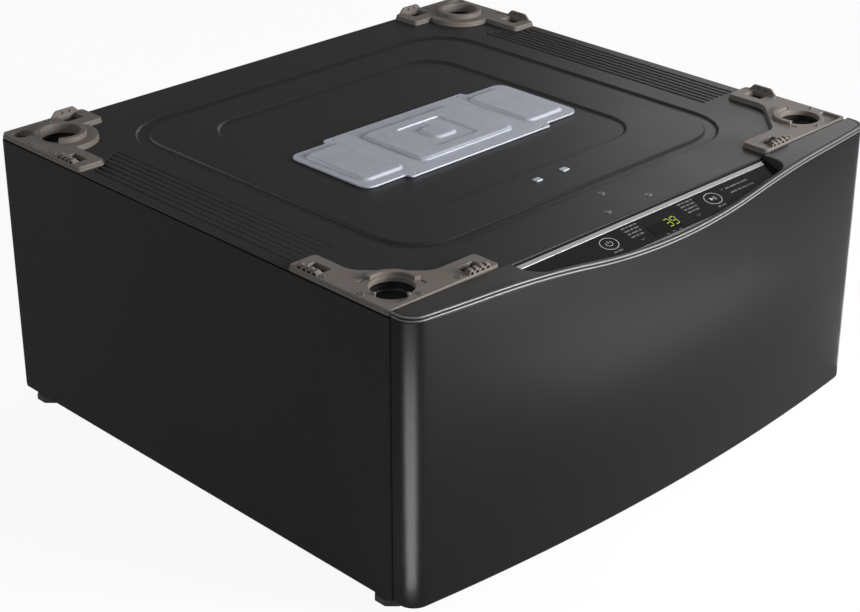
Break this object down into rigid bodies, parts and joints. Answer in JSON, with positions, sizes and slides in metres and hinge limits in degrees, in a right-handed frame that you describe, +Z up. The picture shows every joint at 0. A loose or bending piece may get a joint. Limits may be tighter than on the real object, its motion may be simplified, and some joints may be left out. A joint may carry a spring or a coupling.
{
  "type": "pedestal washer",
  "caption": "Drawer-type small washing machine that stands under a front loader: black cabinet, bowed drawer front with top controls, corner brackets for feet.",
  "frame": {"origin": "middle of the overall footprint, on the floor", "axes": "+X to the right seen from the front, +Y to the rear, +Z up; the drawer opens towards -Y"},
  "size_m": [0.737, 0.725, 0.352],
  "materials": {
    "cabinet_black": "satin",
    "top_black": "satin",
    "front_black": "satin",
    "zinc": "satin",
    "bracket_grey": "matte",
    "cap_black": "gloss",
    "control_black": "gloss",
    "bright_trim": "polished",
    "lens_black": "gloss",
    "steel": "brushed",
    "galvanized": "satin",
    "foot_black": "matte",
    "board_green": "matte",
    "tub_grey": "matte",
    "cover_grey": "matte",
    "seal_rubber": "matte",
    "hose_rubber": "matte",
    "lid_glass": "clear",
    "winding": "satin",
    "pulsator_white": "gloss",
    "valve_white": "matte"
  },
  "bodies": {
    "cabinet": {"base_frame": "galvanized", "left_side_panel": "cabinet_black", "right_side_panel": "cabinet_black", "rear_panel": "galvanized", "top_panel": "top_black", "front_cross_member": "galvanized", "stiffener_plate": "zinc", "front_left_bracket": "bracket_grey", "front_right_bracket": "bracket_grey", "rear_left_bracket": "bracket_grey", "rear_right_bracket": "bracket_grey", "top_screws": "steel", "foot_lock_nuts": "steel", "outer_rails": "steel", "inlet_valves": "valve_white", "drain_spigot": "cover_grey", "cord_gland": "cover_grey", "drain_hose": "hose_rubber", "fill_hose": "hose_rubber", "wire_harness": "hose_rubber"},
    "middle_runners": {"middle_rails": "steel"},
    "drawer": {"inner_rails": "steel", "front_panel": "front_black", "trim_strip": "bright_trim", "front_cap": "cap_black", "front_inner_panel": "galvanized", "control_panel": "control_black", "control_strip": "bright_trim", "display_lens": "lens_black", "control_board": "board_green", "drawer_tray": "galvanized", "drawer_cover": "cover_grey", "detergent_funnel": "cover_grey", "suspension_rods": "steel", "suspension_springs": "steel", "pump_body": "valve_white", "main_board_case": "cover_grey"},
    "tub_group": {"tub": "tub_grey", "tub_cover": "tub_grey", "collar_seal": "seal_rubber", "lid_hinge_pin": "steel", "bearing_housing": "tub_grey", "shaft_bearings": "steel", "shaft_seal": "seal_rubber", "stator": "winding", "sump_hose": "hose_rubber"},
    "basket_group": {"basket": "steel", "balance_ring": "tub_grey", "basket_shaft": "steel"},
    "agitator": {"pulsator": "pulsator_white", "drive_shaft": "steel", "rotor": "galvanized"},
    "pump_rotor": {"pump_impeller": "valve_white"},
    "lid": {"lid_frame": "cover_grey", "lid_window": "lid_glass"},
    "foot_front_left": {"foot_front_left": "foot_black"},
    "foot_front_right": {"foot_front_right": "foot_black"},
    "foot_rear_left": {"foot_rear_left": "foot_black"},
    "foot_rear_right": {"foot_rear_right": "foot_black"}
  },
  "joints": [
    {"name": "drawer_slide", "type": "slide", "parent": "cabinet", "child": "drawer", "axis": [0, -1, 0], "range_m": [0, 0.53], "deforming": ["drain_hose", "fill_hose", "wire_harness"]},
    {"name": "middle_runner_slide", "type": "slide", "parent": "cabinet", "child": "middle_runners", "axis": [0, -1, 0], "range_m": [0, 0.265]},
    {"name": "tub_bounce", "type": "slide", "parent": "drawer", "child": "tub_group", "axis": [0, 0, 1], "range_m": [-0.005, 0.005], "stiffness_N_per_m": 6000, "springref_m": 0.0232, "deforming": ["suspension_springs", "sump_hose"]},
    {"name": "basket_spin", "type": "hinge", "parent": "tub_group", "child": "basket_group", "pos_m": [0, -0.01475, 0.105], "axis": [0, 0, 1], "continuous": true},
    {"name": "agitator_spin", "type": "hinge", "parent": "tub_group", "child": "agitator", "pos_m": [0, -0.01475, 0.08], "axis": [0, 0, 1], "continuous": true},
    {"name": "pump_spin", "type": "hinge", "parent": "drawer", "child": "pump_rotor", "pos_m": [-0.2685, 0.2445, 0.06], "axis": [0, 0, 1], "continuous": true},
    {"name": "lid_hinge", "type": "hinge", "parent": "tub_group", "child": "lid", "pos_m": [0, 0.16525, 0.3025], "axis": [-1, 0, 0], "range_deg": [0, 3.5]},
    {"name": "foot_front_left_screw", "type": "slide", "parent": "cabinet", "child": "foot_front_left", "axis": [0, 0, -1], "range_m": [0, 0.015]},
    {"name": "foot_front_right_screw", "type": "slide", "parent": "cabinet", "child": "foot_front_right", "axis": [0, 0, -1], "range_m": [0, 0.015]},
    {"name": "foot_rear_left_screw", "type": "slide", "parent": "cabinet", "child": "foot_rear_left", "axis": [0, 0, -1], "range_m": [0, 0.015]},
    {"name": "foot_rear_right_screw", "type": "slide", "parent": "cabinet", "child": "foot_rear_right", "axis": [0, 0, -1], "range_m": [0, 0.015]}
  ],
  "couplings": [
    {"joint": "middle_runner_slide", "follows": "drawer_slide", "ratio": 0.5}
  ]
}
